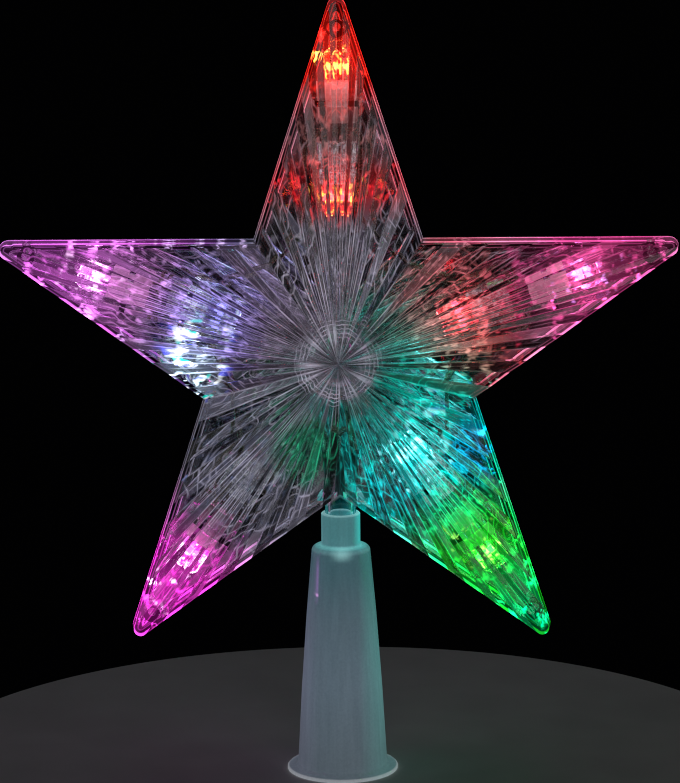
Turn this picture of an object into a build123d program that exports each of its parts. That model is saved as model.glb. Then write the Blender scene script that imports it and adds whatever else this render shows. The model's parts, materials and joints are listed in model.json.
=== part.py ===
from build123d import *
import os
from math import cos, radians, sin, sqrt, tan

# Lighted tree-top star: two clear reeded halves with a split neck that turns in a frosted cone.
# Millimetres, +Z up. The origin is the middle of the cone's foot, and the front half faces -Y.

# Star outline, shared by both halves
points = 5
star_reach = 102.6  # centre to the corner where the two edges of a point would meet
tip_radius = 2.5
crown_height = 17.5  # parting plane to apex
rim_height = 4.8  # side wall of one half, measured at a groove
wall_draft = 7.0  # lean of the side wall, from the parting plane inwards
shell_wall = 1.5
apex_flat = 0.3  # height taken off the apex by its small flat

# Reeds, the roof-shaped ribs that run from the apex to the edges
reeds_per_edge = 6
reed_flank_angle = 22.0

# Hub, a tube of the front half that slips over a tube of the rear half
hub_radius = 10.3
hub_wall = 1.4
hub_clearance = 0.1
hub_lap = 5.0

# Locating pegs near the points
peg_setback = 13.6  # corner of a point to the peg behind it
boss_radius = 2.4
peg_radius = 1.2
peg_length = 3.5
peg_root = 2.0  # length of a peg that is rooted in its boss
peg_clearance = 0.05

# Neck and the cone that slips over the tree's leader
neck_wall = 1.3
neck_root = 4.0  # length of the neck that overlaps the star's lower corner
neck_reveal = 5.45  # neck that shows between the collar and the star's lower corner
neck_clearance = 0.05
collar_wall = 1.05
collar_height = 9.2
collar_chamfer = 0.3
collar_foot_chamfer = 0.6
cone_height = 64.0
cone_foot_radius = 12.5
cone_belly = 0.35  # how far the cone's side swells past a straight taper
cone_wall = 1.2
cone_shoulder_rounding = 1.6
shoulder_land = 0.4  # flat of the shoulder between the collar's foot and its rounding
flange_width = 2.88
flange_thickness = 0.9
flange_chamfer = 0.3
foot_chamfer = 0.7
taper_shares = (0, 0.35, 0.7, 1)  # where the swelled side of the cone has its corners

# Lamps: in each arm one points at the tip and one at the hub, back to back
bulb_gap = 12.1  # tip bulb to the boss of the peg in its point
top_lamp_advance = 9.0  # how much further out the lamps of the top arm sit
lamp_gap = 5.5  # between the two husks of an arm
saddle_thickness = 1.6
saddle_width = 11.0
saddle_clearance = 0.1
husk_length = 11.0
husk_across_flats = 7.6
husk_sides = 6
waist_depth = 0.6  # groove of the husk that sits in the saddle
bulb_radius = 2.5
bulb_length = 12.0
bulb_seat_depth = 3.0
dome_shares = (0, 0.3, 0.6, 0.85, 1)  # where the dome of a bulb has its corners, as shares of a quarter turn
bulb_clearance = 0.05

# Wires of the two lamp strings, one in front of the parting plane and one behind it
wire_radius = 0.55
wire_sides = 6
wire_clearance = 0.05
wire_depth = 1.2  # parting plane to a string's own plane
wire_spread = 1.6  # arm's middle line to a wire's hole in the husk
wire_entry = 3.0  # length of wire inside a husk or a splice
loop_flat = 0.7  # straight between the two bends of an inner lamp's loop
loop_lead = 0.9  # straight between a husk and its loop
wire_drop = 2.5  # how far a tip lamp's wire runs in before it turns aside
lane_gap = 2.0  # saddle to the middle of the wires that pass it
crossing_setback = 8.7  # star's inner corner to the wires that pass it
lane_bend = 4.0
crossing_bend = 6.0
splice_width = 2.0
splice_gap = 0.8  # between the two splices
splice_clearance = 0.15  # splices to the neck's bore
splice_tail = 0.3  # how far a splice passes the star's lower corner
feed_bend = 3.0  # turn of a feed wire from its lane back to its splice
feed_run = 4.1  # straight between that turn and the splice

overrun = 1.0  # how far cutting bodies pass the faces that they cut

# Worked-out sizes of the star
sector = 180 / points
inner_reach = star_reach * cos(radians(2 * sector)) / cos(radians(sector))
edge_distance = star_reach * cos(radians(2 * sector))
facet_slope = (crown_height - rim_height) / edge_distance
facet_slant = sqrt(1 + facet_slope**2)
wall_inset = shell_wall + rim_height * tan(radians(wall_draft))
cavity_edge_distance = edge_distance - wall_inset
cavity_rim = rim_height - shell_wall * facet_slant + wall_inset * facet_slope
cavity_apex = crown_height - shell_wall * facet_slant

# Worked-out sizes of what is inside the arms, from the points inwards
peg_distance = star_reach - peg_setback
husk_half = husk_length / 2
bulb_base = husk_half - bulb_seat_depth
tip_saddle = peg_distance - boss_radius - bulb_gap - bulb_length - bulb_base
inner_saddle = tip_saddle - husk_length - lamp_gap
waist_radius = husk_across_flats / 2 - waist_depth
waist_width = saddle_thickness + 2 * saddle_clearance
wire_lane = saddle_width / 2 + lane_gap
wire_crossing = inner_reach - crossing_setback
loop_bend = (wire_lane - wire_spread - loop_flat) / 2
wire_loop = loop_bend + loop_lead

# Worked-out sizes of the neck, the collar and the cone, from the splices outwards
splice_spread = (splice_width + splice_gap) / 2
feed_corner = (wire_lane + splice_spread * cos(radians(sector))) / sin(radians(sector))
splice_start = feed_corner + feed_bend / tan(radians(sector / 2)) + feed_run
splice_length = inner_reach + splice_tail - splice_start
neck_bore_radius = sqrt(splice_spread**2 + wire_depth**2) + splice_width / 2 + splice_clearance
neck_radius = neck_bore_radius + neck_wall
collar_bore_radius = neck_radius + neck_clearance
collar_radius = collar_bore_radius + collar_wall
cone_top_radius = collar_radius + collar_foot_chamfer + shoulder_land + cone_shoulder_rounding
flange_radius = cone_foot_radius + flange_width
collar_top = cone_height + collar_height
star_center = collar_top + neck_reveal + inner_reach
neck_length = neck_root + neck_reveal + collar_height

front_plane = Plane(origin=(0, 0, star_center), x_dir=(1, 0, 0), z_dir=(0, -1, 0))
rear_plane = Plane(origin=(0, 0, star_center), x_dir=(-1, 0, 0), z_dir=(0, 1, 0))
arm_names = ["top", "upper_left", "lower_left", "lower_right", "upper_right"]
first_arm_angle = 90.0
quarter_turn = 90.0
arm_angles = [first_arm_angle + 2 * sector * k for k in range(points)]
lamp_advances = [top_lamp_advance] + [0] * (points - 1)
foot_up = (Align.CENTER, Align.CENTER, Align.MIN)
head_down = (Align.CENTER, Align.CENTER, Align.MAX)


def star_corners(distance):
    """Corners of a star whose ten edges all lie at this distance from its centre."""
    corners = []
    for angle in arm_angles:
        tip = distance / cos(radians(2 * sector))
        notch = distance / cos(radians(sector))
        corners.append((tip * cos(radians(angle)), tip * sin(radians(angle))))
        corners.append((notch * cos(radians(angle + sector)), notch * sin(radians(angle + sector))))
    return corners


def rounded_star(distance, radius):
    """Star outline with its points rounded."""
    with BuildSketch() as outline:
        with BuildLine():
            Polyline(*star_corners(distance), close=True)
        make_face()
        fillet(outline.vertices().sort_by_distance((0, 0, 0))[-points:], radius)
    return outline.sketch


def roof_wedge(roof, peak):
    """Upright wedge between the star's centre and one stretch of an edge, under planes through the peak."""
    with BuildPart() as wedge:
        with BuildSketch():
            with BuildLine():
                Polyline((0, 0), (roof[0].X, roof[0].Y), (roof[-1].X, roof[-1].Y), close=True)
            make_face()
        extrude(amount=peak.Z)
        for left, right in zip(roof, roof[1:]):
            top_side = (right - peak).cross(left - peak)
            split(bisect_by=Plane(origin=peak, x_dir=left - peak, z_dir=top_side), keep=Keep.BOTTOM)
    return wedge.part


def edge_point(distance, share, height):
    """Point on an edge at this distance from the centre: share 0 is its inner corner and 1 its point."""
    corner = Vector(distance, distance * tan(radians(sector)))
    point = Vector(distance / cos(radians(2 * sector)), 0)
    return corner + (point - corner) * share + Vector(0, 0, height)


def reed_roof(reed):
    """Gable of one reed over the side wall: groove, crest, groove."""
    shares = [(reed + step) / reeds_per_edge for step in (0, 1 / 2, 1)]
    first, middle, last = (edge_point(edge_distance, share, 0) for share in shares)
    width = edge_distance * (last - first).length / middle.length
    rise = Vector(0, 0, rim_height)
    crest = Vector(0, 0, width / 2 * tan(radians(reed_flank_angle)))
    return [first + rise, middle + rise + crest, last + rise]


# Reeded blank of one half, modelled lying on the parting plane with its apex up
apex = Vector(0, 0, crown_height)
reeds = [roof_wedge(reed_roof(reed), apex) for reed in range(reeds_per_edge)]
outer_outline = rounded_star(edge_distance, tip_radius)
with BuildSketch(Plane.XZ.offset(inner_reach - neck_root)) as neck_section:
    Circle(neck_radius)
    Rectangle(2 * neck_radius, neck_radius, align=(Align.CENTER, Align.MIN), mode=Mode.INTERSECT)

with BuildPart() as reeded_arm:
    add(reeds)
    mirror(about=Plane.XZ)

with BuildPart() as blank:
    with PolarLocations(0, points, start_angle=first_arm_angle):
        add(reeded_arm.part)
    extrude(to_extrude=outer_outline, amount=crown_height - apex_flat, taper=wall_draft, mode=Mode.INTERSECT)
    extrude(to_extrude=neck_section.sketch, amount=neck_length)

# Hollow of one half, which leaves the peg bosses and lamp saddles standing
cavity_outline = rounded_star(cavity_edge_distance, tip_radius - shell_wall)
cavity_edge = [edge_point(cavity_edge_distance, share, cavity_rim) for share in (0, 1)]
cavity_slope = roof_wedge(cavity_edge, Vector(0, 0, cavity_apex))
with BuildPart() as cavity_arm:
    add(cavity_slope)
    mirror(about=Plane.XZ)

with BuildPart() as cavity:
    with PolarLocations(0, points, start_angle=first_arm_angle):
        add(cavity_arm.part)
    extrude(to_extrude=cavity_outline, amount=cavity_apex, mode=Mode.INTERSECT)
    with PolarLocations(0, points, start_angle=first_arm_angle):
        with Locations((peg_distance, 0, 0)):
            Cylinder(boss_radius, crown_height, align=foot_up, mode=Mode.SUBTRACT)
    for angle, advance in zip(arm_angles, lamp_advances):
        with PolarLocations(0, 1, start_angle=angle):
            with Locations((inner_saddle + advance, 0, 0), (tip_saddle + advance, 0, 0)):
                Box(saddle_thickness, saddle_width, crown_height, align=foot_up, mode=Mode.SUBTRACT)
                Cylinder(waist_radius + saddle_clearance, saddle_thickness + overrun, rotation=(0, 90, 0))
    with Locations((0, -inner_reach + neck_root, 0)):
        Cylinder(neck_bore_radius, neck_length + overrun, rotation=(90, 0, 0), align=foot_up)


def half_shell(hub_outside):
    """One hollow half with its own hub tube, lying on the parting plane."""
    with BuildPart() as hollow:
        add(cavity.part)
        with BuildSketch():
            Circle(hub_outside)
            Circle(hub_outside - hub_wall, mode=Mode.SUBTRACT)
        extrude(amount=crown_height, mode=Mode.SUBTRACT)
    with BuildPart() as half:
        add(blank.part)
        add(hollow.part, mode=Mode.SUBTRACT)
    return half.part


front_half = half_shell(hub_radius)
rear_hub_radius = hub_radius - hub_wall - hub_clearance
rear_half = half_shell(rear_hub_radius)

with BuildPart(front_plane) as front_shell:
    add(front_half)
    with PolarLocations(0, points, start_angle=first_arm_angle):
        with Locations((peg_distance, 0, peg_root)):
            Cylinder(peg_radius, peg_root + peg_length, align=head_down)

with BuildPart(rear_plane) as rear_shell:
    add(rear_half)
    with BuildSketch(rear_plane):
        Circle(rear_hub_radius)
        Circle(rear_hub_radius - hub_wall, mode=Mode.SUBTRACT)
    extrude(amount=-hub_lap)
    with PolarLocations(0, points, start_angle=first_arm_angle):
        with Locations((peg_distance, 0, 0)):
            socket_depth = peg_length + peg_clearance
            Cylinder(peg_radius + peg_clearance, socket_depth, align=foot_up, mode=Mode.SUBTRACT)

# Frosted cone with its collar and flange, turned about the swivel axis


def swelled_side(foot, shoulder):
    """Corners of the cone's side, from its foot to its shoulder, a little fuller than a straight taper."""
    run = Vector(*shoulder) - Vector(*foot)
    return [Vector(*foot) + run * at + Vector(4 * cone_belly * at * (1 - at), 0) for at in taper_shares]


with BuildPart() as tree_cone:
    with BuildSketch(Plane.XZ) as cone_section:
        with BuildLine():
            foot = (cone_foot_radius, flange_thickness)
            shoulder = (cone_top_radius, cone_height)
            inner_shoulder = (cone_top_radius - cone_wall, cone_height - cone_wall)
            inner_foot = (cone_foot_radius - cone_wall, 0)
            Polyline(inner_foot, (flange_radius, 0), (flange_radius, flange_thickness), foot)
            Polyline(*swelled_side(foot, shoulder))
            Polyline(
                shoulder,
                (collar_radius, cone_height),
                (collar_radius, collar_top),
                (collar_bore_radius, collar_top),
                (collar_bore_radius, cone_height),
                (neck_bore_radius, cone_height),
                (neck_bore_radius, cone_height - cone_wall),
                inner_shoulder,
            )
            Polyline(*swelled_side(inner_foot, inner_shoulder))
        make_face()
        fillet(cone_section.vertices().sort_by_distance((*shoulder, 0))[0], cone_shoulder_rounding)
        for corner, width in (
            (foot, foot_chamfer),
            ((collar_radius, cone_height), collar_foot_chamfer),
            ((collar_radius, collar_top), collar_chamfer),
            ((flange_radius, flange_thickness), flange_chamfer),
        ):
            chamfer(cone_section.vertices().sort_by_distance((*corner, 0))[0], width)
    revolve(axis=Axis.Z)

# Bulb and husk, modelled along +Z with the saddle at the origin
with BuildPart() as bulb_form:
    with BuildSketch(Plane.XZ):
        with BuildLine():
            base = (0, bulb_base)
            dome_center = Vector(0, bulb_base + bulb_length - bulb_radius)
            quarter = Vector(bulb_radius, 0)
            dome = [dome_center + quarter.rotate(Axis.Z, quarter_turn * share) for share in dome_shares]
            Polyline(dome[-1], base, (bulb_radius, bulb_base), *dome)
        make_face()
    revolve(axis=Axis.Z)

with BuildPart() as husk_form:
    with BuildSketch(Plane.XY.offset(-husk_half)):
        RegularPolygon(husk_across_flats / 2, husk_sides, major_radius=False)
    extrude(amount=husk_length)
    with BuildSketch(Plane.XY.offset(-waist_width / 2)):
        Circle(husk_across_flats)
        Circle(waist_radius, mode=Mode.SUBTRACT)
    extrude(amount=waist_width, mode=Mode.SUBTRACT)
    with Locations((0, 0, husk_half)):
        Cylinder(bulb_radius + bulb_clearance, bulb_seat_depth, align=head_down, mode=Mode.SUBTRACT)
    with Locations((wire_depth, wire_spread, -husk_half), (wire_depth, -wire_spread, -husk_half)):
        Cylinder(wire_radius + wire_clearance, wire_entry, align=foot_up, mode=Mode.SUBTRACT)

os.makedirs("parts", exist_ok=True)


def write(piece, name):
    """Label a finished piece and write it under its own name."""
    piece.label = name
    export_step(piece, f"parts/{name}.step")


write(front_shell.part, "front_shell")
write(rear_shell.part, "rear_shell")
write(tree_cone.part, "tree_cone")

for arm, angle, advance in zip(arm_names, arm_angles, lamp_advances):
    outward = Vector(cos(radians(angle)), 0, sin(radians(angle)))
    for kind, distance, aim, side in (
        ("inner", inner_saddle, -outward, (0, -1, 0)),
        ("tip", tip_saddle, outward, (0, 1, 0)),
    ):
        place = Vector(0, 0, star_center) + outward * (distance + advance)
        lamp_plane = Plane(origin=place, x_dir=side, z_dir=aim)
        with BuildPart(lamp_plane) as bulb:
            add(bulb_form.part)
        with BuildPart(lamp_plane) as husk:
            add(husk_form.part)
        write(bulb.part, f"{kind}_bulb_{arm}")
        write(husk.part, f"{kind}_husk_{arm}")


def arm_plane(angle, depth):
    """Plane of one string: X along an arm, Y towards the next arm, Z to the front."""
    along = (cos(radians(angle)), 0, sin(radians(angle)))
    return Plane(origin=(0, -depth, star_center), x_dir=along, z_dir=(0, -1, 0))


def lamp_lead(kind, advance):
    """Corners and bends of a wire from its husk into the lane beside the husks."""
    inner_back = inner_saddle + advance + husk_half
    if kind == "inner":
        loop = inner_back + wire_loop
        return [(inner_back - wire_entry, wire_spread), (loop, wire_spread), (loop, wire_lane)], [loop_bend] * 2
    back = tip_saddle + advance - husk_half
    turn = (back - wire_drop, wire_spread)
    return [(back + wire_entry, wire_spread), turn, (inner_back, wire_lane)], [lane_bend] * 2


def valley_point(beside, along):
    """Point given beside and along the valley between an arm and the next."""
    valley, across = radians(sector), radians(sector - 90)
    return (along * cos(valley) + beside * cos(across), along * sin(valley) + beside * sin(across))


def mirrored(point):
    """The same point seen across that valley."""
    turn = radians(2 * sector)
    return (point[0] * cos(turn) + point[1] * sin(turn), point[0] * sin(turn) - point[1] * cos(turn))


def wire(corners, bends, plane):
    """Round wire along straight runs joined by tangent arcs."""
    with BuildPart() as run:
        with BuildLine(plane) as route:
            FilletPolyline(*corners, radius=bends)
        with BuildSketch(Plane(origin=route.wire() @ 0, z_dir=route.wire() % 0)):
            RegularPolygon(wire_radius, wire_sides)
        sweep(path=route.wire())
    return run.part


string_depths = {"inner": wire_depth, "tip": -wire_depth}
lane_end = (inner_saddle - husk_half, wire_lane)
for k, (arm, angle) in enumerate(zip(arm_names, arm_angles)):
    next_arm = arm_names[(k + 1) % points]
    if arm == "lower_left":
        continue
    strands = []
    for kind, depth in string_depths.items():
        near_side, bends = lamp_lead(kind, lamp_advances[k])
        far_lead, far_bends = lamp_lead(kind, lamp_advances[(k + 1) % points])
        far_side = [mirrored(corner) for corner in [lane_end] + far_lead[::-1]]
        whole = near_side + [lane_end, valley_point(0, wire_crossing)] + far_side
        all_bends = bends + [crossing_bend] * 3 + far_bends
        strands.append(wire(whole, all_bends, arm_plane(angle, depth)))
    with BuildPart() as crossing:
        add(strands)
    write(crossing.part, f"wires_{arm}_to_{next_arm}")

for arm, flip in (("lower_left", 1), ("lower_right", -1)):
    strands = []
    for kind, depth in string_depths.items():
        lead, bends = lamp_lead(kind, lamp_advances[arm_names.index(arm)])
        corners = lead + [
            valley_point(splice_spread, feed_corner),
            valley_point(splice_spread, splice_start + wire_entry),
        ]
        sided = [(x, flip * y) for x, y in corners]
        strands.append(wire(sided, bends + [feed_bend], arm_plane(arm_angles[arm_names.index(arm)], depth)))
    with BuildPart() as feed:
        add(strands)
    write(feed.part, f"feed_wires_{arm}")

for side, place in (("left", -splice_spread), ("right", splice_spread)):
    with BuildPart() as splice:
        with BuildSketch(Plane(origin=(place, 0, star_center - splice_start), z_dir=(0, 0, -1))):
            SlotCenterToCenter(2 * wire_depth, splice_width, rotation=90)
        extrude(amount=splice_length)
        for depth in string_depths.values():
            with Locations((place, -depth, star_center - splice_start)):
                Cylinder(wire_radius + wire_clearance, wire_entry, align=head_down, mode=Mode.SUBTRACT)
    write(splice.part, f"splice_{side}")
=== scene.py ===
import json
import math
from collections import namedtuple

import bpy
import numpy as np
from mathutils import Matrix, Vector


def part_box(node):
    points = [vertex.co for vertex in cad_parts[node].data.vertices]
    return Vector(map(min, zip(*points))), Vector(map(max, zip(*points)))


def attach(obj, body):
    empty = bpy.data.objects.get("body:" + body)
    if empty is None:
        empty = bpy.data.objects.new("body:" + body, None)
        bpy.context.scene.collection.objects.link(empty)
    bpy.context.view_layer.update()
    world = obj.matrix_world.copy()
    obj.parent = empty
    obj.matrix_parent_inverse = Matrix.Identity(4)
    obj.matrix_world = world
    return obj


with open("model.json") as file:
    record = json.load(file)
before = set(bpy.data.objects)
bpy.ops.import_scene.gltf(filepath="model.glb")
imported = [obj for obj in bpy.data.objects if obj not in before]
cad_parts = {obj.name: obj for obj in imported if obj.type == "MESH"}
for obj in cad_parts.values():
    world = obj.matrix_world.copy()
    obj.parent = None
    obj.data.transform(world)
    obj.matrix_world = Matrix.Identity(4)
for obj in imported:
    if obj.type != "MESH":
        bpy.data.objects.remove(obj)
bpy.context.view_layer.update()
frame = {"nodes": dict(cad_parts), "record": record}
nodes = frame["nodes"]
slot_of = {row["node"]: row["material_slot"] for row in frame["record"]["subparts"]}

# What the finishes follow of the star and its cone, in metres
EDGE_AWAY = 0.0317  # from the star's middle straight out to the line of an edge
TIP_ROUND = 0.0025  # radius of a point's end
CROWN, RIM = 0.0175, 0.0048  # height of a half at its apex and at a groove's end
HUB_WALL = 0.0096  # from the star's middle to the middle of the hub's wall
COLLAR_FOOT = 0.0642  # height of the collar's foot on the cone
COLLAR_SIDE = 0.0055  # from the collar's axis to its outer side
ARM_STEP = math.radians(72)  # turn from one arm of the star to the next
REEDS, EDGE_REEDS = 60, 6  # reeds round one half of the star, and along one edge
# Painted lines of light on the plastic, the crests also raised in its bump: how far from their middle
# they are full, and where they have faded out
CREST_LINE, DRAWN_LINE = (0.00008, 0.00026), (0.00005, 0.00018)

# A lamp: colour of its glow, colour of its hot spots, how strongly it burns, how far from the star's
# middle the light painted for it on the plastic shows brightest, and how far that painted light reaches
# along and across its arm (metres)
Lamp = namedtuple("Lamp", "glow hot burn centre along across")
LAMPS = {
    "tip_top": Lamp((1.0, 0.02, 0.012), (1.0, 0.50, 0.06), 1.0, 0.081, 0.022, 0.016),
    "inner_top": Lamp((1.0, 0.02, 0.03), (1.0, 0.48, 0.06), 0.8, 0.046, 0.013, 0.024),
    "tip_upper_left": Lamp((0.72, 0.13, 0.70), (1.0, 0.55, 1.0), 0.7, 0.071, 0.037, 0.021),
    "inner_upper_left": Lamp((0.22, 0.20, 0.85), (0.75, 0.90, 1.0), 0.12, 0.040, 0.018, 0.022),
    "tip_lower_left": Lamp((0.95, 0.04, 0.66), (1.0, 0.65, 1.0), 0.95, 0.079, 0.027, 0.017),
    "inner_lower_left": Lamp((0.4, 0.4, 0.45), (0.5, 0.5, 0.5), 0.0, 0.035, 0.01, 0.01),
    "tip_lower_right": Lamp((0.01, 0.75, 0.02), (0.40, 1.0, 0.12), 0.8, 0.064, 0.030, 0.022),
    "inner_lower_right": Lamp((0.0, 0.50, 0.46), (0.30, 0.92, 1.0), 0.9, 0.034, 0.031, 0.034),
    "tip_upper_right": Lamp((0.86, 0.08, 0.32), (0.80, 0.28, 0.95), 0.7, 0.071, 0.037, 0.021),
    "inner_upper_right": Lamp((1.0, 0.025, 0.05), (1.0, 0.20, 0.18), 0.55, 0.037, 0.021, 0.024),
}
# Reach of the painted lamp light through the star's depth
CLOUD_DEPTH = 1.6  # reach of a lamp's light through the star's depth, as a share of its reach across

# Painted light that shows in the plastic away from its lamp: place from the star's middle (across, up),
# colour, reach in metres, strength, and the turn of the arm that holds it in degrees, or none
Spill = namedtuple("Spill", "across up colour reach share arm")
SPILLS = (
    Spill(0.026, -0.004, (0.0, 0.55, 0.38), 0.024, 0.42, None),
    Spill(0.008, 0.010, (0.02, 0.40, 0.22), 0.010, 0.14, None),
    Spill(-0.009, -0.026, (0.01, 0.62, 0.26), 0.013, 0.38, 216),
    Spill(-0.041, -0.004, (0.60, 0.88, 1.00), 0.012, 1.10, 288),
    Spill(-0.037, 0.009, (0.28, 0.22, 0.95), 0.020, 0.60, 288),
    Spill(-0.040, 0.014, (0.50, 0.36, 0.62), 0.042, 0.36, 288),
    Spill(0.028, 0.018, (0.40, 0.34, 0.37), 0.022, 0.28, 72),
    Spill(0.024, 0.016, (0.90, 0.05, 0.07), 0.016, 0.13, 72),
    Spill(-0.030, -0.032, (0.20, 0.26, 0.50), 0.036, 0.10, 216),
    Spill(0.0, 0.057, (0.50, 0.17, 0.17), 0.016, 0.40, 0),
    Spill(0.053, -0.073, (0.0, 0.50, 0.17), 0.026, 0.70, 144),
    Spill(0.0385, -0.026, (0.0, 0.16, 0.85), 0.013, 0.60, 144),
    Spill(0.0157, -0.038, (0.0, 0.22, 0.45), 0.013, 0.40, 144),
    Spill(-0.002, -0.027, (0.0, 0.03, 0.03), 0.015, 0.30, None),
)

# Where painted flares show a lamp's light split by the plastic: place from the star's middle (across,
# up), reach in metres, strength, and tint
Flare = namedtuple("Flare", "across up reach share tint")
PLAIN, SEA_TINT = (1.0, 1.0, 1.0), (0.35, 1.0, 0.97)
FLARES = (
    Flare(-0.041, -0.004, 0.013, 2.4, PLAIN),
    Flare(-0.038, 0.006, 0.012, 1.0, PLAIN),
    Flare(0.024, -0.021, 0.013, 0.60, SEA_TINT),
    Flare(0.044, -0.017, 0.010, 0.50, SEA_TINT),
)

# Painted room light on the plastic, and painted teal light on the neck
ROOM_LIGHT = (0.280, 0.256, 0.325)  # on the lines of plastic that no lamp reaches
NECK_LIGHT = (0.0, 0.009, 0.0095)

# Painted lamp light on the cone by its height, from foot to mouth, and the painted light added from its
# left to its right
DARK = (0.0, 0.0, 0.0)
CONE_PAINTED_LIGHT = (
    (0.0, (0.034, 0.044, 0.052)),
    (0.35, (0.0445, 0.063, 0.078)),
    (0.60, (0.034, 0.055, 0.068)),
    (0.80, (0.014, 0.046, 0.054)),
    (0.86, (0.014, 0.046, 0.054)),
    (0.90, (0.024, 0.098, 0.102)),
)
CONE_SIDE_LIGHT = ((0.0, (0.024, 0.012, 0.028)), (0.2, DARK), (0.72, DARK), (1.0, (0.0, 0.085, 0.060)))

# Half profiles of the cup and the post in a lens: radius and height in millimetres, from top to bottom
CUP = [
    (0, 0), (0.36, 0), (0.44, 0.05), (1.2, 0.8), (1.42, 0.8),
    (1.46, 0.66), (1.36, -0.7), (0.5, -1.1), (0.4, -4.6), (0, -4.6),
]
POST = [(0, 1.1), (0.22, 1.08), (0.42, 0.9), (0.44, 0.2), (0.3, -0.3), (0.25, -4.6), (0, -4.6)]
MILLIMETRE = 0.001
CHIP_AHEAD, POST_ASIDE = 0.001, 0.0016  # from a lens's middle on to its chip, and aside to its post
CUP_TURNS, POST_TURNS = 28, 16  # points round a cup and round a post

# The softboxes: place, width and height in metres, and brightness
SOFTBOXES = {
    "left_box": ((-0.72, -0.36, 0.20), 0.30, 0.50, 0.32),
    "right_box": ((0.72, -0.36, 0.20), 0.30, 0.50, 0.32),
    "rear_left_box": ((-0.85, 0.50, 0.20), 0.25, 0.70, 0.2),
    "rear_right_box": ((0.85, 0.50, 0.20), 0.25, 0.70, 0.2),
    "top_box": ((0.0, 0.10, 0.95), 0.60, 0.40, 0.2),
    "front_box": ((0.20, -1.20, 0.28), 0.60, 0.40, 0.8),
}
ROOM = (0.0004, 0.0004, 0.0005, 1.0)  # the dark round the star

# Camera: as far off and as high as the outline of the star and the ellipse of the foot ask for
VIEW_DISTANCE = 0.916  # metres
VIEW_HEIGHT, VIEW_TURN, VIEW_ROLL = 11.19, 0.98, 0.5  # degrees
FOCAL_PIXELS, IMAGE_HEIGHT = 3341.0, 783.0
AIM_ACROSS, AIM_BELOW = 0.00012, 0.0107  # from the star's middle to the point looked at (metres)


def middle(node):
    """Middle of a CAD node's box."""
    low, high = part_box(node)
    return (low + high) / 2


def bulb_node(lamp):
    """CAD node of a lamp's lens, from the lamp's kind and arm."""
    kind, arm = lamp.split("_", 1)
    return f"{kind}_bulb_{arm}"


def husk_node(lamp):
    """CAD node of a lamp's holder."""
    return bulb_node(lamp).replace("bulb", "husk")


side_husk = middle("tip_husk_upper_right")
star_middle = Vector((0.0, 0.0, side_husk.z - side_husk.x * math.tan(ARM_STEP / 4)))
cone_low, cone_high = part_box("tree_cone")


def lamp_axis(lamp):
    """Middle of a lamp's lens on the lamp's own axis, and the way that the lamp points."""
    holder = middle(husk_node(lamp))
    outward = (holder - star_middle).normalized()
    aim = outward if lamp.startswith("tip") else -outward
    return holder + aim * (middle(bulb_node(lamp)) - holder).dot(aim), aim


def dimmed(colour, share):
    """A share of a colour."""
    return tuple(share * c for c in colour)


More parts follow.
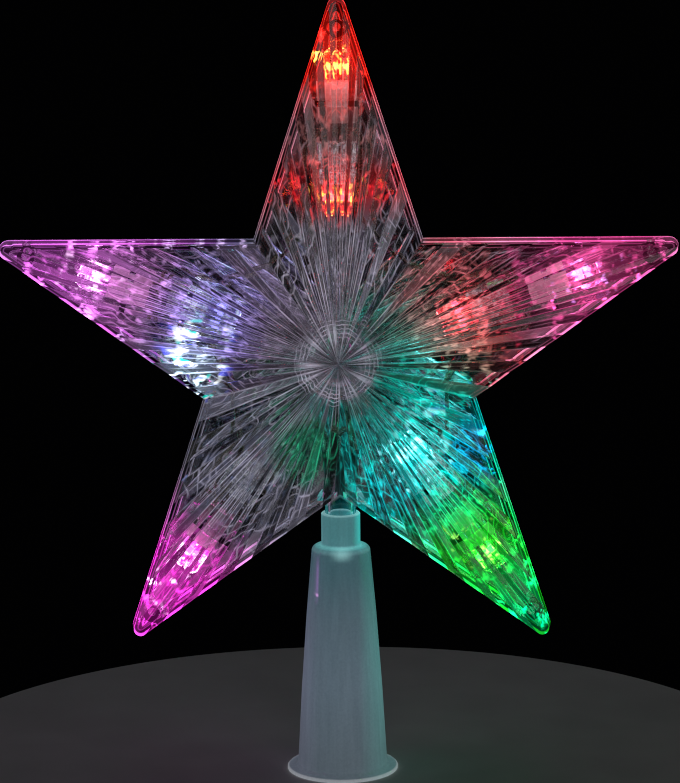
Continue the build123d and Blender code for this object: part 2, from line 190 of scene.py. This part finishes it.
class Finish:
    """A procedural finish: one Principled shader, and the nodes that feed it."""

    def __init__(self, name, **sockets):
        self.material = bpy.data.materials.new(name)
        self.material.use_nodes = True
        self.tree = self.material.node_tree
        self.tree.nodes.clear()
        self.shader = self.node("ShaderNodeBsdfPrincipled")
        output = self.node("ShaderNodeOutputMaterial")
        self.link(self.shader.outputs["BSDF"], output.inputs["Surface"])
        for socket, value in sockets.items():
            self.set(socket.replace("_", " "), value)

    def node(self, kind, **settings):
        made = self.tree.nodes.new(kind)
        for key, value in settings.items():
            setattr(made, key, value)
        return made

    def link(self, source, target):
        self.tree.links.new(source, target)

    def feed(self, target, value):
        """Give an input a link or a plain value."""
        if isinstance(value, bpy.types.NodeSocket):
            self.link(value, target)
        else:
            target.default_value = value

    def filled(self, made, *values):
        """A node whose inputs are given these values in turn."""
        for target, value in zip(made.inputs, values):
            self.feed(target, value)
        return made

    def set(self, socket, value):
        """Give an input of the shader a link or a plain value."""
        self.feed(self.shader.inputs[socket], value)

    def math(self, operation, *values):
        return self.filled(self.node("ShaderNodeMath", operation=operation), *values).outputs[0]

    def product(self, first, *others):
        """Values multiplied by each other."""
        for other in others:
            first = self.math("MULTIPLY", first, other)
        return first

    def sum(self, first, *others):
        """Values added to each other."""
        for other in others:
            first = self.math("ADD", first, other)
        return first

    def vector(self, operation, *values):
        made = self.filled(self.node("ShaderNodeVectorMath", operation=operation), *values)
        return made.outputs["Value" if operation in ("LENGTH", "DISTANCE") else "Vector"]

    def added(self, first, *others):
        """Colours added to each other."""
        for other in others:
            first = self.vector("ADD", first, other)
        return first

    def scaled(self, vector, factor):
        made = self.node("ShaderNodeVectorMath", operation="SCALE")
        self.feed(made.inputs["Vector"], vector)
        self.feed(made.inputs["Scale"], factor)
        return made.outputs["Vector"]

    def place(self):
        return self.node("ShaderNodeTexCoord").outputs["Object"]

    def split(self, vector):
        return self.filled(self.node("ShaderNodeSeparateXYZ"), vector).outputs

    def joined(self, *values):
        return self.filled(self.node("ShaderNodeCombineXYZ"), *values).outputs[0]

    def ranged(self, value, low, high, start, end, curve="LINEAR"):
        """Start where a value is low, end where it is high, in between on the way, held past both."""
        made = self.node("ShaderNodeMapRange", interpolation_type=curve)
        return self.filled(made, value, low, high, start, end).outputs[0]

    def noise(self, vector, scale, detail=2.0, rough=0.5):
        made = self.node("ShaderNodeTexNoise")
        self.link(vector, made.inputs["Vector"])
        for socket, value in (("Scale", scale), ("Detail", detail), ("Roughness", rough)):
            made.inputs[socket].default_value = value
        return made.outputs["Fac"]

    def ramp(self, value, *stops):
        """Colours between stops, each a value and its colour."""
        made = self.node("ShaderNodeValToRGB")
        self.feed(made.inputs[0], value)
        elements = made.color_ramp.elements
        while len(elements) < len(stops):
            elements.new(0.5)
        for element, (position, colour) in zip(elements, stops):
            element.position = position
            element.color = (*colour, 1.0)
        return made.outputs["Color"]

    def contours(self, value, width):
        """One on thin lines at the whole numbers of a value, none a width away from them."""
        return self.ranged(self.math("PINGPONG", value, 0.5), 0.0, width, 1.0, 0.0)

    def band(self, value, centre, width):
        """One at a value, falling to none a width away from it."""
        away = self.math("ABSOLUTE", self.math("SUBTRACT", value, centre))
        return self.ranged(away, 0.0, width, 1.0, 0.0, "SMOOTHSTEP")

    def grained(self, grain, deep, pale, smooth, rough):
        """Colour from deep to pale and roughness from smooth to rough, as a grain rises."""
        self.set("Base Color", self.ramp(grain, (0.3, deep), (0.7, pale)))
        self.set("Roughness", self.ranged(grain, 0.3, 0.7, smooth, rough))

    def bump(self, height, strength, distance):
        made = self.node("ShaderNodeBump")
        made.inputs["Strength"].default_value = strength
        made.inputs["Distance"].default_value = distance
        self.link(height, made.inputs["Height"])
        self.set("Normal", made.outputs["Normal"])


class StarMap:
    """Where a point of the star lies: its turn from straight up, and how far out from the middle and
    towards the edge it is."""

    def __init__(self, finish):
        self.finish = finish
        self.place = finish.place()
        x, self.depth, z = finish.split(finish.vector("SUBTRACT", self.place, tuple(star_middle)))
        self.turn = finish.math("ARCTAN2", x, z)
        self.flat = finish.joined(x, 0.0, z)
        self.distance = finish.vector("LENGTH", self.flat)
        turn_in_arm = finish.math("WRAP", self.turn, ARM_STEP / 2, -ARM_STEP / 2)
        off_arm = finish.math("ABSOLUTE", turn_in_arm)
        slant = finish.math("SUBTRACT", ARM_STEP, off_arm)
        lean = finish.math("COSINE", slant)
        straight = finish.product(self.distance, lean)
        # Past the middle of a point's rounded end, the way to the edge is the way from that middle
        before_round = EDGE_AWAY - TIP_ROUND
        along = finish.product(self.distance, finish.math("COSINE", off_arm))
        beside = finish.product(self.distance, finish.math("SINE", off_arm))
        past = finish.math("SUBTRACT", along, before_round / math.sin(ARM_STEP / 4))
        from_round = finish.vector("LENGTH", finish.joined(past, beside, 0.0))
        in_round = finish.math("GREATER_THAN", past, 0.0)
        round_end = finish.product(finish.sum(from_round, before_round), in_round)
        self.to_edge = finish.math("MAXIMUM", straight, round_end)
        # Where the spoke through the point meets the edge, in half reeds from the valley: grooves and
        # crests lie at whole numbers
        near, far, halves = math.tan(ARM_STEP / 2), math.tan(ARM_STEP), 2.0 * EDGE_REEDS
        self.half_reed = finish.ranged(finish.math("TANGENT", slant), near, far, 0.0, halves)
        self.half_width = finish.product(straight, lean, (far - near) / halves)

    def neck(self):
        """One on the neck, which alone lies past the star's outline."""
        outline, past = EDGE_AWAY + 0.0004, EDGE_AWAY + 0.0012
        return self.finish.ranged(self.to_edge, outline, past, 0.0, 1.0)

    def skin(self):
        """One on the outer skin of a half, none on the surfaces inside it."""
        fall = self.finish.product(self.to_edge, (CROWN - RIM) / EDGE_AWAY)
        height = self.finish.sum(self.finish.math("ABSOLUTE", self.depth), fall)
        inside, outside = CROWN - 0.0011, CROWN - 0.0005
        return self.finish.ranged(height, inside, outside, 0.0, 1.0)

    def streaks(self, per_reed, per_metre, detail=3.0):
        """Noise drawn out along the reeds: fast round the star and slow along a reed."""
        across = self.finish.product(self.turn, REEDS / (2 * math.pi) * per_reed)
        along = self.finish.product(self.distance, per_metre)
        return self.finish.noise(self.finish.joined(across, along, 0.0), 1.0, detail, 0.6)

    def hub_rings(self):
        """One on thin broken rings in and beside the wall of the hub."""
        finish, spacing, sway = self.finish, 0.0011, 0.0017
        wavy = finish.product(finish.math("SUBTRACT", self.streaks(0.4, 160.0, 2.0), 0.5), sway)
        away = finish.math("SUBTRACT", finish.sum(self.distance, wavy), HUB_WALL)
        rings = finish.contours(finish.math("DIVIDE", away, spacing), 0.20)
        beside_wall = finish.ranged(finish.math("ABSOLUTE", away), 0.0012, 0.0034, 1.0, 0.0)
        gaps = finish.ranged(self.streaks(0.16, 120.0, 2.0), 0.42, 0.56, 0.10, 1.1)
        return finish.product(rings, beside_wall, gaps)

    def wedges(self):
        """Painted light and shade round the hub: light and dark wedges, each a few reeds wide, dark at
        the very middle.
        """
        light = self.finish.ranged(self.streaks(0.9, 25.0, 1.0), 0.53, 0.60, 0.0, 0.75)
        inside = self.finish.ranged(self.distance, 0.0085, 0.0125, 1.0, 0.0)
        rise = self.finish.ranged(self.distance, 0.002, 0.007, 0.15, 1.0)
        return self.finish.product(light, inside, rise)

    def lines(self, per_half, core, fade):
        """One on thin lines along the reeds, evenly spaced in each half reed, falling to none between
        them and towards the hub and the edges."""
        finish = self.finish
        share = finish.math("PINGPONG", finish.product(self.half_reed, per_half), 0.5)
        away = finish.product(share, finish.product(self.half_width, 1.0 / per_half))
        beside_edge = (EDGE_AWAY - 0.0040, EDGE_AWAY - 0.0022)
        return finish.product(
            finish.product(
                finish.ranged(away, core, fade, 1.0, 0.0),
                finish.ranged(share, 0.05, 0.22, 1.0, 0.0),
            ),
            finish.product(
                finish.ranged(self.distance, 0.006, 0.016, 0.10, 1.0),
                finish.ranged(self.to_edge, *beside_edge, 1.0, 0.05),
            ),
        )

    def facets(self):
        """A number of its own for each flat flank of a reed, from none to one."""
        finish = self.finish
        flank = finish.math("FLOOR", self.half_reed)
        side = finish.math("FLOOR", finish.math("DIVIDE", self.turn, ARM_STEP / 2))
        half = finish.math("SIGN", self.depth)
        made = finish.node("ShaderNodeTexWhiteNoise", noise_dimensions="3D")
        finish.link(finish.joined(flank, side, half), made.inputs["Vector"])
        return made.outputs["Value"]

    def waves(self, tone):
        """One on wavy lines across the reeds, level with the edge but set off from flank to flank."""
        finish, spacing, sway = self.finish, 0.0030, 3.2
        offset = finish.sum(finish.product(self.streaks(0.6, 110.0, 1.0), sway), tone)
        level = finish.sum(finish.math("DIVIDE", self.to_edge, spacing), offset)
        return finish.product(
            finish.contours(level, 0.13),
            finish.ranged(self.streaks(0.5, 70.0, 2.0), 0.46, 0.60, 0.0, 1.0),
            finish.ranged(self.distance, 0.013, 0.026, 0.0, 0.80),
            finish.ranged(self.to_edge, EDGE_AWAY - 0.0030, EDGE_AWAY - 0.0015, 1.0, 0.0),
        )

    def edge(self):
        """One on the star's outline, and faint on a thin line beside it."""
        finish, outline, inner_line = self.finish, EDGE_AWAY - 0.0002, EDGE_AWAY - 0.0016
        away = finish.math("ABSOLUTE", finish.math("SUBTRACT", self.to_edge, outline))
        rim = finish.ranged(away, 0.0003, 0.0006, 1.0, 0.0)
        away = finish.math("ABSOLUTE", finish.math("SUBTRACT", self.to_edge, inner_line))
        return finish.math("MAXIMUM", rim, finish.ranged(away, *CREST_LINE, 0.15, 0.0))

    def patch(self, spot):
        """Strength of a spill or a flare: full round its middle, none past its reach."""
        away = self.finish.vector("DISTANCE", self.flat, (spot.across, 0.0, spot.up))
        return self.finish.ranged(away, 0.2 * spot.reach, spot.reach, spot.share, 0.0, "SMOOTHSTEP")

    def flares(self):
        """Painted flares: broad bright dashes along the reeds, blue, white and sea green side by side.
        """
        finish = self.finish
        tints = finish.added(*(finish.scaled(flare.tint, self.patch(flare)) for flare in FLARES))
        dashes = finish.ranged(self.streaks(1.0, 150.0, 1.0), 0.57, 0.64, 0.0, 1.0)
        blue, white, sea_green = (0.08, 0.10, 0.95), (0.92, 0.97, 1.0), (0.0, 0.75, 0.62)
        stops = (0.38, blue), (0.46, white), (0.55, white), (0.63, sea_green)
        colours = finish.ramp(self.streaks(1.7, 90.0, 1.0), *stops)
        return finish.scaled(finish.vector("MULTIPLY", colours, tints), dashes)

    def arm(self, turn):
        """One inside the arm at this turn, none past the valleys beside it."""
        finish, half, soft = self.finish, ARM_STEP / 2, 0.03
        off = finish.math("WRAP", finish.math("SUBTRACT", self.turn, turn), math.pi, -math.pi)
        return finish.ranged(finish.math("ABSOLUTE", off), half - soft, half + soft, 1.0, 0.0)

    def cloud(self, lamp, outward):
        """Distance from the middle of a lamp's painted light, as a share of its reach along and across
        its arm."""
        cloud = self.finish.node("ShaderNodeMapping", vector_type="TEXTURE")
        self.finish.link(self.place, cloud.inputs["Vector"])
        cloud.inputs["Location"].default_value = star_middle + outward * lamp.centre
        cloud.inputs["Rotation"].default_value = (0.0, -math.atan2(outward.z, outward.x), 0.0)
        cloud.inputs["Scale"].default_value = (lamp.along, lamp.across * CLOUD_DEPTH, lamp.across)
        return self.finish.vector("LENGTH", cloud.outputs[0])

    def lamp_light(self, catches, strength, rim_strength=0.0, milk=0.0, sparkles=None, spills=()):
        """Painted lamp light: sum of the lamps' clouds, each drawn out along its arm and kept in it,
        where the surface catches them and again at the edge, and of the painted spills; and how far
        these reach at all."""
        finish, edge = self.finish, self.edge()
        colours, reaches = [], []
        for name, lamp in LAMPS.items():
            if not lamp.burn:
                continue
            outward = (lamp_axis(name)[0] - star_middle).normalized()
            away = self.cloud(lamp, outward)
            inside = self.arm(math.atan2(outward.x, outward.z))
            core = finish.ranged(away, 0.0, 1.0, lamp.burn, 0.0, "SMOOTHSTEP")
            core = finish.product(core, inside)
            rim = finish.ranged(away, 0.2, 1.5, rim_strength * lamp.burn, 0.0, "SMOOTHSTEP")
            rim = finish.product(rim, edge, inside)
            light = finish.sum(finish.product(core, catches, strength), rim)
            pale = milk * lamp.glow[0]  # milky plastic pales red light and leaves green light as it is
            colour = tuple(c + (0.5 - 0.5 * c) * pale for c in lamp.glow)
            colours.append(finish.scaled(colour, light))
            if sparkles is not None:
                # Painted hot sparkles in the lamp's hot colour near it
                hot = finish.product(finish.ranged(away, 0.08, 0.42, lamp.burn, 0.0), sparkles)
                colours.append(finish.scaled(lamp.hot, hot))
            reaches.append(core)
        for spill in spills:
            weight = self.patch(spill)
            if spill.arm is not None:
                weight = finish.product(weight, self.arm(math.radians(spill.arm)))
            colours.append(finish.scaled(spill.colour, finish.product(weight, catches)))
            reaches.append(weight)
        return finish.added(*colours), finish.sum(*reaches)


def clear_plastic():
    """Clear polished moulding with painted light: each flank of a reed, its crest and its drawn lines
    show painted lamp light, and what no lamp reaches shows faintly grey painted room light."""
    finish = Finish("clear_plastic", Transmission_Weight=1.0, IOR=1.49, Emission_Strength=1.0)
    star = StarMap(finish)
    broad, fine = star.streaks(1.3, 90.0), star.streaks(5.0, 60.0)
    tone, neck = star.facets(), star.neck()
    skin = finish.product(star.skin(), finish.math("SUBTRACT", 1.0, neck))
    smoky, bright = (0.86, 0.87, 0.90), (0.99, 0.99, 1.0)
    finish.set("Base Color", finish.ramp(broad, (0.3, smoky), (0.7, bright)))
    finish.set("Roughness", finish.ranged(fine, 0.3, 0.75, 0.0, 0.025))

    # Painted highlight lines along the crests, the drawn lines and wavy lines across the reeds, broken
    # into groups and kept to the outer skin
    crests = star.lines(1.0, *CREST_LINE)
    broken_crests = finish.product(crests, finish.ranged(broad, 0.36, 0.62, 0.15, 1.0))
    drawn = star.lines(2.0, *DRAWN_LINE)
    drawn = finish.product(drawn, finish.ranged(fine, 0.45, 0.62, 0.0, 0.8))
    groups = finish.ranged(star.streaks(0.45, 35.0, 2.0), 0.42, 0.58, 0.04, 1.15)
    lines = finish.product(finish.math("MAXIMUM", broken_crests, drawn), groups)
    lines = finish.product(finish.math("MAXIMUM", lines, star.waves(tone)), skin)
    # Painted light on some flanks by their random tone, and painted glints
    off_hub = finish.ranged(star.distance, 0.004, 0.022, 0.1, 1.0)
    flanks = finish.product(finish.ranged(tone, 0.70, 1.0, 0.0, 1.0), off_hub, skin)
    glints = finish.ranged(star.streaks(2.6, 210.0, 2.0), 0.58, 0.68, 0.0, 1.0)
    catches = finish.sum(
        lines,
        finish.product(glints, finish.ranged(skin, 0.0, 1.0, 0.4, 0.9)),
        finish.product(flanks, 0.40),
        finish.product(skin, finish.ranged(star.distance, 0.050, 0.075, 0.0, 0.10)),
    )
    # Painted hot sparkles near each lamp, and the painted lamp light itself
    sparkles = finish.ranged(star.streaks(3.4, 300.0, 1.0), 0.66, 0.74, 0.0, 2.2)
    light, lit = star.lamp_light(catches, 1.4, 0.22, 0.0, sparkles, SPILLS)

    # Painted light and shade round the hub: rings and wedges
    hub = finish.product(finish.math("MAXIMUM", star.hub_rings(), star.wedges()), skin)
    # Painted grey room light on the lines, flanks, hub and edge, where no lamp light is painted
    room_light_share = finish.sum(lines, finish.product(flanks, 0.20), hub, finish.product(star.edge(), 0.10))
    unlit = finish.ranged(lit, 0.0, 0.32, 1.0, 0.0)
    # Painted teal light on the neck
    neck_lines = finish.product(neck, finish.ranged(fine, 0.35, 0.65, 0.3, 1.7))
    # The whole emission here is painted light: lamp light, flares, neck light and room light
    light = finish.added(
        light,
        finish.scaled(star.flares(), skin),
        finish.scaled(NECK_LIGHT, neck_lines),
        finish.scaled(ROOM_LIGHT, finish.product(room_light_share, unlit)),
    )
    finish.set("Emission Color", light)
    finish.bump(finish.sum(crests, finish.product(fine, 0.2)), 0.35, 0.00007)
    return finish.material


def lit_lens(name):
    """Lens of a burning lamp: tinted clear epoxy with hot spots round its chip."""
    lamp, brightness = LAMPS[name], 4.0
    finish = Finish(f"lens_{name}", Transmission_Weight=1.0, IOR=1.5)
    finish.set("Emission Strength", brightness * lamp.burn)
    spot, aim = lamp_axis(name)
    away = finish.vector("DISTANCE", finish.place(), tuple(spot + aim * 0.002))
    near = finish.ranged(away, 0.001, 0.008, 0.12, -0.16)
    spots = finish.sum(finish.noise(finish.place(), 430.0, 1.0), near)
    tinted = tuple(0.35 + 0.6 * c for c in lamp.glow)
    finish.grained(spots, (0.92, 0.92, 0.92), tinted, 0.02, 0.08)
    faint, full = dimmed(lamp.glow, 0.015), dimmed(lamp.glow, 0.30)
    finish.set("Emission Color", finish.ramp(spots, (0.48, faint), (0.60, full), (0.68, lamp.hot)))
    return finish.material


def unlit_lens():
    """Clear lens of the lamp that is off."""
    finish = Finish("lens_unlit", Transmission_Weight=1.0, IOR=1.5)
    grain = finish.noise(finish.place(), 350.0, 3.0)
    finish.grained(grain, (0.86, 0.87, 0.89), (0.97, 0.97, 0.98), 0.03, 0.12)
    return finish.material


def chip_glow(name):
    """Reflector cup of a lamp: white-hot at the chip in its middle, and its colour towards the rim."""
    lamp, brightness = LAMPS[name], 22.0
    finish = Finish(f"chip_{name}", Metallic=0.8, Emission_Strength=brightness * lamp.burn)
    spot, aim = lamp_axis(name)
    away = finish.vector("DISTANCE", finish.place(), tuple(spot + aim * CHIP_AHEAD))
    to_rim = finish.ranged(away, 0.0004, 0.0022, 0.0, 1.0)
    gilt, silver = (0.85, 0.83, 0.70), (0.72, 0.72, 0.74)
    finish.set("Base Color", finish.ramp(to_rim, (0.0, gilt), (1.0, silver)))
    stops = (0.0, lamp.hot), (0.5, lamp.glow), (1.0, dimmed(lamp.glow, 0.15))
    finish.set("Emission Color", finish.ramp(to_rim, *stops))
    grain = finish.noise(finish.place(), 3000.0)
    finish.set("Roughness", finish.ranged(grain, 0.3, 0.7, 0.2, 0.4))
    return finish.material


def post_metal():
    """Tinned post beside a lamp's chip."""
    finish = Finish("post_metal", Metallic=1.0)
    grain = finish.noise(finish.place(), 2500.0, 3.0)
    finish.grained(grain, (0.55, 0.55, 0.56), (0.78, 0.78, 0.77), 0.25, 0.45)
    return finish.material


def holder_plastic(name, pale, deep, clear, glow, milk, glint):
    """Lamp holder: moulded plastic, faintly clouded in its colour, with painted light from the lamps
    beside it and painted glints on thin wavy lines.
    """
    finish = Finish(name, Transmission_Weight=clear, IOR=1.49, Emission_Strength=1.0)
    star = StarMap(finish)
    grain = finish.noise(star.place, 420.0, 3.0)
    finish.grained(grain, deep, pale, 0.05, 0.20)
    # Painted light from the lamps beside the holder
    light = star.lamp_light(finish.ranged(grain, 0.3, 0.7, 0.5, 1.0), glow, milk=milk)[0]
    # Painted glints on thin wavy contour lines
    glint_field = finish.product(finish.noise(star.place, 300.0, 1.0), 5.0)
    painted_glints = finish.scaled((glint, glint, 1.1 * glint), finish.contours(glint_field, 0.13))
    finish.set("Emission Color", finish.added(light, painted_glints))
    finish.bump(grain, 0.15, 0.0001)
    return finish.material


def cone_rim_highlights(finish, x, y, z, rise):
    """Painted highlights and painted lamp light along the cone's rims and the collar's sides, one
    colour and one weight for each.
    """
    reach = finish.vector("LENGTH", finish.joined(x, y, 0.0))
    on_collar = finish.ranged(rise, 0.87, 0.89, 0.0, 1.0)
    below_foot = finish.band(z, COLLAR_FOOT - 0.0014, 0.0024)
    return (
        ((0.12, 0.19, 0.19), finish.band(z, cone_high.z, 0.0006)),  # collar's mouth
        ((0.05, 0.19, 0.18), finish.band(z, COLLAR_FOOT, 0.0006)),  # collar's foot
        ((0.03, 0.06, 0.06), finish.band(z, COLLAR_FOOT - 0.0010, 0.0010)),  # shoulder
        ((0.15, 0.15, 0.15), finish.band(reach, cone_high.x, 0.0006)),  # flange
        # Painted teal lamp light on the collar's right side, a painted highlight on its left side, and
        # a painted teal glow on the front just below the collar's foot
        ((0.0, 0.22, 0.19), finish.product(finish.band(x, COLLAR_SIDE, 0.0022), on_collar)),
        ((0.04, 0.07, 0.08), finish.product(finish.band(x, -COLLAR_SIDE, 0.0010), on_collar)),
        ((0.10, 0.20, 0.19), finish.product(finish.band(x, 0.0004, 0.0040), below_foot)),
    )


def cone_violet_reflection(finish, x, y, z):
    """A painted violet reflection of a lamp down the front of the cone, and a bright painted highlight
    dot near its lower end.
    """
    slant = finish.sum(x, finish.ranged(z, 0.045, 0.065, 0.0068, 0.0061))
    front = finish.ranged(y, -0.001, 0.0, 1.0, 0.0)
    line = finish.product(finish.band(slant, 0.0, 0.0006), front)
    lower = finish.ranged(z, 0.0480, 0.0530, 0.0, 1.0)
    upper = finish.ranged(z, 0.0585, 0.0625, 1.0, 0.0)
    reflection_streak = finish.scaled((0.11, 0.03, 0.14), finish.product(line, lower, upper))
    dot = finish.product(line, finish.band(z, 0.0512, 0.0007))
    return finish.added(reflection_streak, finish.scaled((0.45, 0.20, 0.45), dot))


def frosted_plastic():
    """Frosted cone: fine grain with faint vertical draw lines, painted lamp light that is teal on one
    side and mauve on the other, painted highlights along its rims, and a painted violet reflection down
    its front."""
    finish = Finish("frosted_plastic", Transmission_Weight=0.30, IOR=1.49, Sheen_Weight=0.2)
    finish.set("Emission Strength", 1.0)
    place = finish.place()
    x, y, z = finish.split(place)
    grain = finish.noise(place, 1500.0, 3.0)
    lines = finish.noise(finish.vector("MULTIPLY", place, (900.0, 900.0, 25.0)), 1.0, 2.0)
    both = finish.sum(grain, lines)
    even = finish.product(both, 0.5)
    deep, pale = (0.46, 0.53, 0.59), (0.57, 0.63, 0.69)
    finish.set("Base Color", finish.ramp(even, (0.35, deep), (0.65, pale)))
    finish.set("Roughness", finish.ranged(grain, 0.3, 0.7, 0.34, 0.5))
    # Painted lamp light on the cone: by its height, and from mauve to teal from its left to its right,
    # varied with the grain
    rise = finish.ranged(z, cone_low.z, cone_high.z, 0.0, 1.0)
    side_light = finish.ramp(finish.ranged(x, -0.011, 0.011, 0.0, 1.0), *CONE_SIDE_LIGHT)
    side_light = finish.scaled(side_light, finish.ranged(rise, 0.0, 0.5, 0.35, 1.0))
    tint = finish.added(finish.ramp(rise, *CONE_PAINTED_LIGHT), side_light)
    tint = finish.scaled(tint, finish.ranged(even, 0.35, 0.65, 0.86, 1.14))
    # Painted highlights along the rims, and a painted violet reflection of a lamp down the front
    rim_highlights = (finish.scaled(*rim) for rim in cone_rim_highlights(finish, x, y, z, rise))
    finish.set("Emission Color", finish.added(tint, *rim_highlights, cone_violet_reflection(finish, x, y, z)))
    finish.bump(both, 0.10, 0.0002)
    return finish.material


def wire_finish():
    """Clear insulation over copper: warm, glassy, with the lay of the strands."""
    finish = Finish("wire_finish", Transmission_Weight=0.75, IOR=1.5, Coat_Weight=0.4)
    grain = finish.noise(finish.place(), 1800.0, 2.0)
    finish.grained(grain, (0.40, 0.31, 0.20), (0.80, 0.70, 0.54), 0.12, 0.3)
    return finish.material


def sleeve_finish():
    """Shrunk translucent sleeve, sea green."""
    finish = Finish("sleeve_finish", Transmission_Weight=0.7, IOR=1.45)
    grain = finish.noise(finish.place(), 700.0, 3.0)
    finish.grained(grain, (0.12, 0.34, 0.34), (0.22, 0.47, 0.46), 0.3, 0.5)
    return finish.material


def pale_floor():
    """Pale matt tabletop."""
    finish = Finish("pale_floor")
    grain = finish.noise(finish.place(), 60.0, 4.0)
    finish.grained(grain, (0.66, 0.66, 0.67), (0.72, 0.72, 0.73), 0.55, 0.7)
    return finish.material


def dress(name, material):
    """Give a CAD node its finish."""
    slots = nodes[name].data.materials
    slots.clear()
    slots.append(material)


shell_finish = clear_plastic()
tip_holder = holder_plastic(
    "tip_holder",
    pale=(0.90, 0.78, 0.76),
    deep=(0.76, 0.62, 0.60),
    clear=0.45,
    glow=0.60,
    milk=0.5,
    glint=0.07,
)
inner_holder = holder_plastic(
    "inner_holder",
    pale=(0.97, 0.97, 0.97),
    deep=(0.86, 0.87, 0.88),
    clear=0.95,
    glow=0.05,
    milk=0.2,
    glint=0.18,
)
copper, sleeve = wire_finish(), sleeve_finish()
dress("front_shell", shell_finish)
dress("rear_shell", shell_finish)
dress("tree_cone", frosted_plastic())
for lamp_name, lamp_kind in LAMPS.items():
    dress(bulb_node(lamp_name), lit_lens(lamp_name) if lamp_kind.burn else unlit_lens())
    dress(husk_node(lamp_name), tip_holder if lamp_name.startswith("tip") else inner_holder)
for node_name in nodes:
    if "wires" in node_name:
        dress(node_name, copper)
    elif node_name.startswith("splice"):
        dress(node_name, sleeve)


def mesh_object(name, points, faces, material):
    """A new piece at the origin from a table of points and a list of faces."""
    mesh = bpy.data.meshes.new(name)
    mesh.from_pydata(points.tolist(), [], faces)
    mesh.materials.append(material)
    mesh.shade_smooth()
    made = bpy.data.objects.new(name, mesh)
    bpy.context.scene.collection.objects.link(made)
    return made


def ring_walls(rings, turns):
    """Faces between each ring of points and the next."""
    i, j = np.meshgrid(np.arange(rings - 1), np.arange(turns), indexing="ij")
    k = (j + 1) % turns
    here, there = i * turns, (i + 1) * turns
    return np.stack([here + j, there + j, there + k, here + k], -1).reshape(-1, 4).tolist()


def pole_cap(pole, first, turns, step):
    """Faces from a pole to a ring that begins at the point first, one way round or the other."""
    j = np.arange(turns)
    return np.stack([np.full(turns, pole), first + j, first + (j + step) % turns], -1).tolist()


def turned(name, profile, foot, axis, turns, material):
    """Closed turned piece: point (i, a) lies at the foot, plus the profile's height i along the axis,
    plus its radius i at turn a round the axis. The profile runs from the axis at the top to the axis at
    the bottom."""
    radius, height = np.array(profile).T * MILLIMETRE
    lengthwise = np.array(axis)
    crosswise = np.array((0.0, 1.0, 0.0))
    sideways = np.cross(lengthwise, crosswise)
    turn = np.linspace(0, 2 * np.pi, turns, endpoint=False)
    spokes = np.cos(turn)[:, None] * crosswise + np.sin(turn)[:, None] * sideways
    rings = radius[1:-1, None, None] * spokes + height[1:-1, None, None] * lengthwise + np.array(foot)
    poles = np.array(foot) + height[[0, -1], None] * lengthwise
    points = np.vstack([rings.reshape(-1, 3), poles])
    count = len(radius) - 2
    top, bottom, last_ring = count * turns, count * turns + 1, (count - 1) * turns
    caps = pole_cap(top, 0, turns, 1) + pole_cap(bottom, last_ring, turns, -1)
    return mesh_object(name, points, ring_walls(count, turns) + caps, material)


post_finish = post_metal()
for lamp_name in LAMPS:
    spot, aim = lamp_axis(lamp_name)
    chip_spot = spot + aim * CHIP_AHEAD
    post_spot = chip_spot + aim.cross(Vector((0.0, 1.0, 0.0))) * POST_ASIDE
    cup = turned(f"chip_{lamp_name}", CUP, chip_spot, aim, CUP_TURNS, chip_glow(lamp_name))
    post = turned(f"post_{lamp_name}", POST, post_spot, aim, POST_TURNS, post_finish)
    for piece, slot in ((cup, slot_of[bulb_node(lamp_name)]), (post, "wire")):
        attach(piece, "star")


def round_floor(radius, height):
    """Disc: point (r, a) lies at (r cos a, r sin a) at one height, r in even steps out to the rim, and
    one more point lies in the middle."""
    rings, turns = 24, 160
    steps = np.linspace(0, radius, rings + 1)[1:]
    r, a = np.meshgrid(steps, np.linspace(0, 2 * np.pi, turns, endpoint=False), indexing="ij")
    disc = np.stack([r * np.cos(a), r * np.sin(a), np.full_like(r, height)], -1).reshape(-1, 3)
    points = np.vstack([disc, (0.0, 0.0, height)])
    faces = ring_walls(rings, turns) + pole_cap(rings * turns, 0, turns, 1)
    return mesh_object("tabletop", points, faces, pale_floor())


round_floor(0.125, cone_low.z - 0.0001)


def softbox(name, place, width, height, brightness):
    """Rectangular soft light of an even brightness, turned to the star's middle."""
    light = bpy.data.lights.new(name, "AREA")
    light.shape = "RECTANGLE"
    light.size, light.size_y = width, height
    light.energy = brightness * math.pi * width * height
    made = bpy.data.objects.new(name, light)
    bpy.context.scene.collection.objects.link(made)
    made.location = place
    made.rotation_euler = (star_middle - Vector(place)).to_track_quat("-Z", "Y").to_euler()
    made.visible_camera = False


for box_name, box in SOFTBOXES.items():
    softbox(box_name, *box)

world = bpy.data.worlds.new("dark_room")
world.use_nodes = True
world.node_tree.nodes["Background"].inputs["Color"].default_value = ROOM
bpy.context.scene.world = world

camera_data = bpy.data.cameras.new("photo_view")
camera_data.sensor_width = 36.0
camera_data.lens = FOCAL_PIXELS * camera_data.sensor_width / IMAGE_HEIGHT
camera_data.clip_start, camera_data.clip_end = 0.05, 20.0
camera = bpy.data.objects.new("photo_view", camera_data)
bpy.context.scene.collection.objects.link(camera)
turn, lift = math.radians(VIEW_TURN), math.radians(VIEW_HEIGHT)
back = Vector((math.sin(turn) * math.cos(lift), -math.cos(turn) * math.cos(lift), math.sin(lift)))
target = Vector((AIM_ACROSS, 0.0, star_middle.z - AIM_BELOW))
roll = Matrix.Rotation(math.radians(-VIEW_ROLL), 3, "Z")
facing = (-back).to_track_quat("-Z", "Y").to_matrix() @ roll
camera.matrix_world = Matrix.Translation(target + back * VIEW_DISTANCE) @ facing.to_4x4()
bpy.context.scene.camera = camera

settings = bpy.context.scene.cycles
settings.max_bounces = 18
settings.transmission_bounces = 18
settings.glossy_bounces = 8
settings.transparent_max_bounces = 16
settings.sample_clamp_indirect = 4.0
settings.caustics_reflective = False
settings.caustics_refractive = False
settings.use_denoising = True
settings.filter_width = 1.1
bpy.context.scene.view_settings.view_transform = "Standard"
